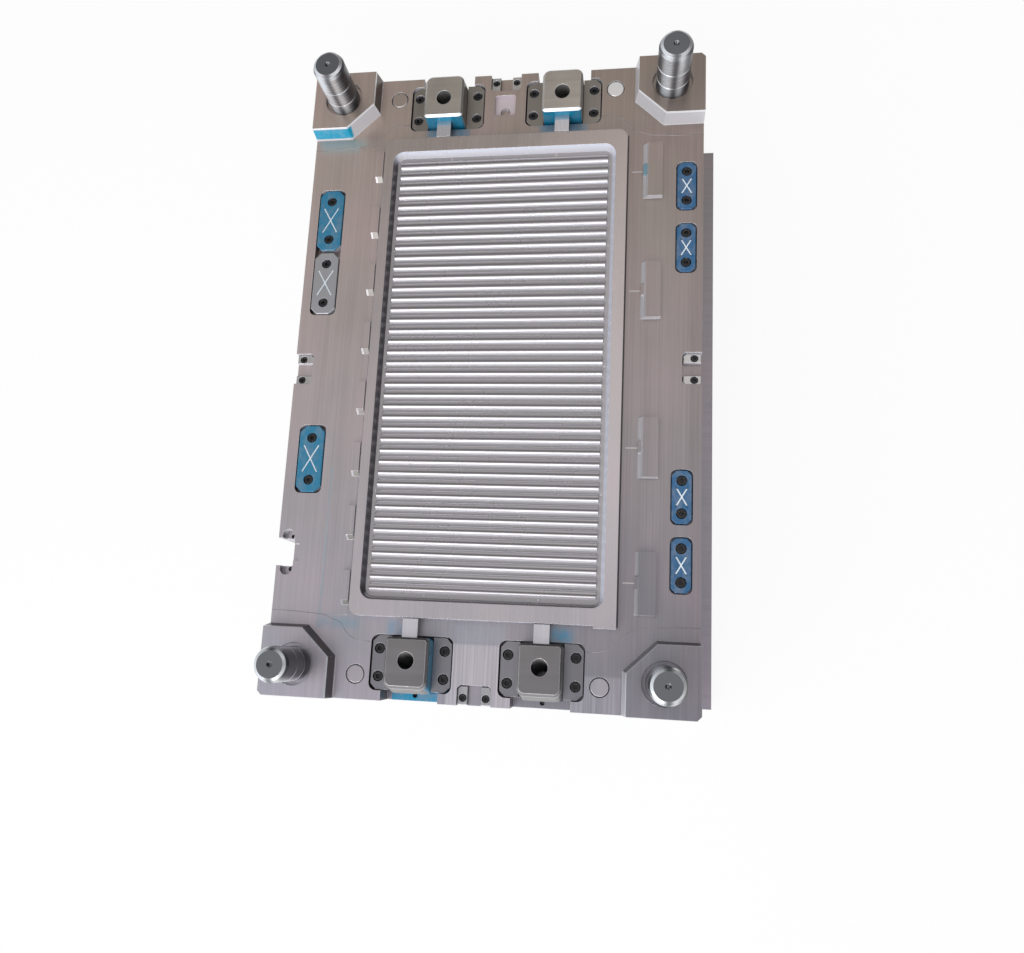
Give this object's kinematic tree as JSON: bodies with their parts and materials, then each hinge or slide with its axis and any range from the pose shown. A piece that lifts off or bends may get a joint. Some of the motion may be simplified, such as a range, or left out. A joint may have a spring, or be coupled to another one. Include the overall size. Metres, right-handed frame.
{
  "type": "injection mould moving half",
  "caption": "Moving half of an injection mould for a ribbed tray, with corner interlocks, guide pins, four side slides and a sprung ejector set.",
  "frame": {"origin": "centre of the clamp plate's underside", "axes": "+Z out of the parting face, +Y along the plates to the top edge, +X to the right edge"},
  "size_m": [0.68, 0.96, 0.3525],
  "materials": {
    "plate_steel": "milled",
    "insert_steel": "polished ribs",
    "ground_steel": "ground",
    "hard_steel": "dark satin",
    "bright_steel": "polished",
    "black_screw": "black oxide",
    "bronze": "machined",
    "spring_paint": "gloss"
  },
  "bodies": {
    "mould": {"b_plate": "plate_steel", "clamp_plate": "plate_steel", "spacer_block_left": "plate_steel", "spacer_block_right": "plate_steel", "core_insert": "insert_steel", "guide_pin_top_left": "ground_steel", "guide_pin_top_right": "ground_steel", "guide_pin_bottom_left": "ground_steel", "guide_pin_bottom_right": "ground_steel", "ejector_guide_pins": "ground_steel", "stack_dowels": "ground_steel", "support_pillars": "ground_steel", "stop_buttons": "ground_steel", "stroke_limit_posts": "ground_steel", "slide_detents": "ground_steel", "wear_plate_left_1": "hard_steel", "wear_plate_left_2": "hard_steel", "wear_plate_left_3": "hard_steel", "wear_plate_right_1": "hard_steel", "wear_plate_right_2": "hard_steel", "wear_plate_right_3": "hard_steel", "wear_plate_right_4": "hard_steel", "side_lock_top": "hard_steel", "side_lock_bottom": "hard_steel", "side_lock_left": "hard_steel", "side_lock_right": "hard_steel", "gibs_top_left": "hard_steel", "gibs_top_right": "hard_steel", "gibs_bottom_left": "hard_steel", "gibs_bottom_right": "hard_steel", "gib_screws": "black_screw", "wear_plate_screws": "black_screw", "side_lock_screws": "black_screw", "insert_screws": "black_screw", "support_pillar_screws": "black_screw", "stack_screws": "black_screw", "slide_wear_plates": "bronze", "return_springs": "spring_paint"},
    "ejector": {"ejector_plate": "plate_steel", "ejector_retainer_plate": "plate_steel", "return_pins": "ground_steel", "ejector_pins": "ground_steel", "ejector_bushes": "bronze", "ejector_plate_screws": "black_screw"},
    "slide_top_left": {"slide_body_top_left": "hard_steel", "slide_core_top_left": "bright_steel", "slide_core_screw_top_left": "black_screw"},
    "slide_top_right": {"slide_body_top_right": "hard_steel", "slide_core_top_right": "bright_steel", "slide_core_screw_top_right": "black_screw"},
    "slide_bottom_left": {"slide_body_bottom_left": "hard_steel", "slide_core_bottom_left": "bright_steel", "slide_core_screw_bottom_left": "black_screw"},
    "slide_bottom_right": {"slide_body_bottom_right": "hard_steel", "slide_core_bottom_right": "bright_steel", "slide_core_screw_bottom_right": "black_screw"}
  },
  "joints": [
    {"name": "slide_top_left_travel", "type": "slide", "parent": "mould", "child": "slide_top_left", "axis": [0, 1, 0], "range_m": [0, 0.012]},
    {"name": "slide_top_right_travel", "type": "slide", "parent": "mould", "child": "slide_top_right", "axis": [0, 1, 0], "range_m": [0, 0.012]},
    {"name": "slide_bottom_left_travel", "type": "slide", "parent": "mould", "child": "slide_bottom_left", "axis": [0, -1, 0], "range_m": [0, 0.012]},
    {"name": "slide_bottom_right_travel", "type": "slide", "parent": "mould", "child": "slide_bottom_right", "axis": [0, -1, 0], "range_m": [0, 0.012]},
    {"name": "ejector_stroke", "type": "slide", "parent": "mould", "child": "ejector", "axis": [0, 0, 1], "range_m": [0, 0.045], "stiffness_N_per_m": 24000, "springref_m": -0.06, "deforming": ["return_springs"]}
  ]
}
